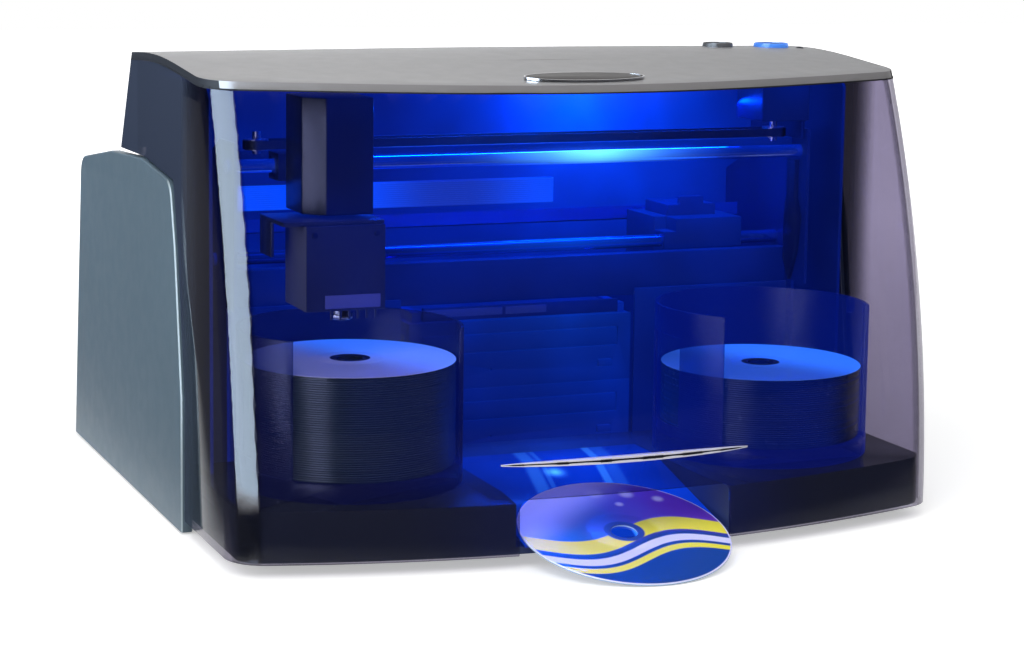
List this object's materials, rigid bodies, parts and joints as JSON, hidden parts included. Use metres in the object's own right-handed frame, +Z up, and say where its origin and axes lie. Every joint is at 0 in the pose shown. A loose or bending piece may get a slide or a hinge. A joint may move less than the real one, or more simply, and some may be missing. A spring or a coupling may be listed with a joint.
{
  "type": "disc label printer",
  "caption": "Desktop robotic disc publisher with a smoked lift-up lid, disc bins, a traversing arm, stacked optical drives, a face printer and a front exit chute.",
  "frame": {"origin": "on the table, under the middle of the machine with its ejected disc", "axes": "+Z up, front of the machine towards -Y, +X to the right seen from the front"},
  "size_m": [0.438, 0.4751, 0.2751],
  "materials": {
    "charcoal_plastic": "satin",
    "cheek_plastic": "satin",
    "housing_plastic": "matt",
    "smoked_window": "smoked clear",
    "panel_silver": "satin",
    "badge_gloss": "gloss",
    "pull_metal": "polished",
    "button_dark": "gloss",
    "steel": "brushed",
    "chassis_paint": "satin",
    "rod_steel": "polished",
    "robot_black": "satin",
    "bin_smoke": "gloss",
    "disc_white": "satin",
    "disc_print": "gloss",
    "bezel_black": "satin",
    "drive_steel": "satin",
    "rubber_black": "matt",
    "belt_rubber": "matt",
    "ribbon_white": "satin",
    "lamp_blue": "gloss",
    "film_clear": "gloss",
    "motor_metal": "satin",
    "brass_pulley": "satin",
    "ink_body": "satin",
    "board_green": "satin",
    "plate_steel": "brushed"
  },
  "bodies": {
    "base": {"base_tray": "charcoal_plastic", "chute_ramp": "charcoal_plastic", "rubber_feet": "rubber_black", "side_cheek_left": "cheek_plastic", "side_cheek_right": "cheek_plastic", "rear_housing": "housing_plastic", "hinge_pins": "steel", "side_plates": "chassis_paint", "rear_wall": "chassis_paint", "bay_panels": "housing_plastic", "lamp_board": "lamp_blue", "frame_plates": "chassis_paint", "robot_rod": "rod_steel", "print_rod": "rod_steel", "frame_beams": "housing_plastic", "encoder_strip": "film_clear", "belt_guard": "robot_black", "drive_bezel_lower": "bezel_black", "drive_case_lower": "drive_steel", "drive_bezel_upper": "bezel_black", "drive_case_upper": "drive_steel", "drive_cage": "steel", "tray_rails": "steel", "drive_belts": "belt_rubber", "ribbon_cable": "ribbon_white", "belt_motors": "motor_metal", "back_plate": "plate_steel", "fan_frame": "housing_plastic", "rear_sockets": "housing_plastic", "electronics": "board_green"},
    "lid": {"lid_window": "smoked_window", "lid_top_panel": "panel_silver", "lid_back_plate": "housing_plastic", "lid_badge": "badge_gloss", "finger_pull": "pull_metal"},
    "power_key": {"power_button": "button_dark"},
    "feed_key": {"feed_button": "button_dark"},
    "left_bin": {"bin_left": "bin_smoke", "disc_stack_left": "disc_white"},
    "right_bin": {"bin_right": "bin_smoke", "disc_stack_right": "disc_white"},
    "ejected_disc": {"printed_disc": "disc_print"},
    "lower_drive_tray": {"drive_tray_lower": "bezel_black"},
    "upper_drive_tray": {"drive_tray_upper": "bezel_black"},
    "lower_eject_key": {"eject_button_lower": "button_dark"},
    "upper_eject_key": {"eject_button_upper": "button_dark"},
    "print_disc_tray": {"printer_tray": "housing_plastic"},
    "ink_carriage": {"print_carriage": "robot_black"},
    "cartridge": {"ink_cartridge": "ink_body"},
    "print_drive_pulley": {"print_pulley": "brass_pulley"},
    "print_idler_pulley": {"print_idler": "brass_pulley"},
    "traverse_drive_pulley": {"traverse_pulley": "brass_pulley"},
    "traverse_idler_pulley": {"traverse_idler": "brass_pulley"},
    "robot": {"robot_carriage": "robot_black", "robot_column": "robot_black"},
    "arm": {"arm_box": "robot_black", "arm_mast": "robot_black"},
    "gripper": {"gripper_nose": "motor_metal"},
    "fan": {"fan_rotor": "robot_black"},
    "power_rocker": {"power_switch": "button_dark"}
  },
  "joints": [
    {"name": "lid_hinge", "type": "hinge", "parent": "base", "child": "lid", "pos_m": [0, 0.104, 0.203], "axis": [-1, 0, 0], "range_deg": [0, 60]},
    {"name": "power_button_press", "type": "slide", "parent": "lid", "child": "power_key", "axis": [0, 0, -1], "range_m": [0, 0.0012], "stiffness_N_per_m": 400, "springref_m": -0.0005},
    {"name": "feed_button_press", "type": "slide", "parent": "lid", "child": "feed_key", "axis": [0, 0, -1], "range_m": [0, 0.0012], "stiffness_N_per_m": 400, "springref_m": -0.0005},
    {"name": "robot_traverse", "type": "slide", "parent": "base", "child": "robot", "axis": [1, 0, 0], "range_m": [-0.004, 0.267]},
    {"name": "arm_lift", "type": "slide", "parent": "robot", "child": "arm", "axis": [0, 0, -1], "range_m": [0, 0.019]},
    {"name": "gripper_plunge", "type": "slide", "parent": "arm", "child": "gripper", "axis": [0, 0, 1], "range_m": [0, 0.0025]},
    {"name": "print_carriage_slide", "type": "slide", "parent": "base", "child": "ink_carriage", "axis": [-1, 0, 0], "range_m": [0, 0.232]},
    {"name": "cartridge_lift", "type": "slide", "parent": "ink_carriage", "child": "cartridge", "axis": [0, 0, 1], "range_m": [0, 0.03]},
    {"name": "printer_tray_slide", "type": "slide", "parent": "base", "child": "print_disc_tray", "axis": [0, -1, 0], "range_m": [0, 0.1253]},
    {"name": "lower_drive_tray_slide", "type": "slide", "parent": "base", "child": "lower_drive_tray", "axis": [0, -1, 0], "range_m": [0, 0.128]},
    {"name": "upper_drive_tray_slide", "type": "slide", "parent": "base", "child": "upper_drive_tray", "axis": [0, -1, 0], "range_m": [0, 0.128]},
    {"name": "lower_eject_press", "type": "slide", "parent": "base", "child": "lower_eject_key", "axis": [0, 1, 0], "range_m": [0, 0.0009], "stiffness_N_per_m": 400, "springref_m": -0.0005},
    {"name": "upper_eject_press", "type": "slide", "parent": "base", "child": "upper_eject_key", "axis": [0, 1, 0], "range_m": [0, 0.0009], "stiffness_N_per_m": 400, "springref_m": -0.0005},
    {"name": "left_bin_lift", "type": "slide", "parent": "base", "child": "left_bin", "axis": [0, 0, 1], "range_m": [0, 0.003]},
    {"name": "right_bin_lift", "type": "slide", "parent": "base", "child": "right_bin", "axis": [0, 0, 1], "range_m": [0, 0.003]},
    {"name": "ejected_disc_slide", "type": "slide", "parent": "base", "child": "ejected_disc", "axis": [0, -0.972, -0.2351], "range_m": [-0.055, 0]},
    {"name": "print_pulley_spin", "type": "hinge", "parent": "base", "child": "print_drive_pulley", "pos_m": [-0.168, 0.05, 0.152], "axis": [0, -1, 0], "range_deg": [0, 1780]},
    {"name": "print_idler_spin", "type": "hinge", "parent": "base", "child": "print_idler_pulley", "pos_m": [0.168, 0.05, 0.152], "axis": [0, -1, 0], "range_deg": [0, 1780]},
    {"name": "traverse_pulley_spin", "type": "hinge", "parent": "base", "child": "traverse_drive_pulley", "pos_m": [0.168, -0.03, 0.2215], "axis": [0, 0, 1], "range_deg": [-40, 2045]},
    {"name": "traverse_idler_spin", "type": "hinge", "parent": "base", "child": "traverse_idler_pulley", "pos_m": [-0.168, -0.03, 0.2215], "axis": [0, 0, 1], "range_deg": [-40, 2045]},
    {"name": "fan_spin", "type": "hinge", "parent": "base", "child": "fan", "pos_m": [0.11, 0.197, 0.074], "axis": [0, 1, 0], "continuous": true},
    {"name": "power_rocker_tilt", "type": "hinge", "parent": "base", "child": "power_rocker", "pos_m": [-0.086, 0.205, 0.06], "axis": [1, 0, 0], "range_deg": [0, 14]}
  ],
  "couplings": [
    {"joint": "print_pulley_spin", "follows": "print_carriage_slide", "rad_per_m": 133.33},
    {"joint": "print_idler_spin", "follows": "print_carriage_slide", "rad_per_m": 133.33},
    {"joint": "traverse_pulley_spin", "follows": "robot_traverse", "rad_per_m": 133.33},
    {"joint": "traverse_idler_spin", "follows": "robot_traverse", "rad_per_m": 133.33}
  ]
}
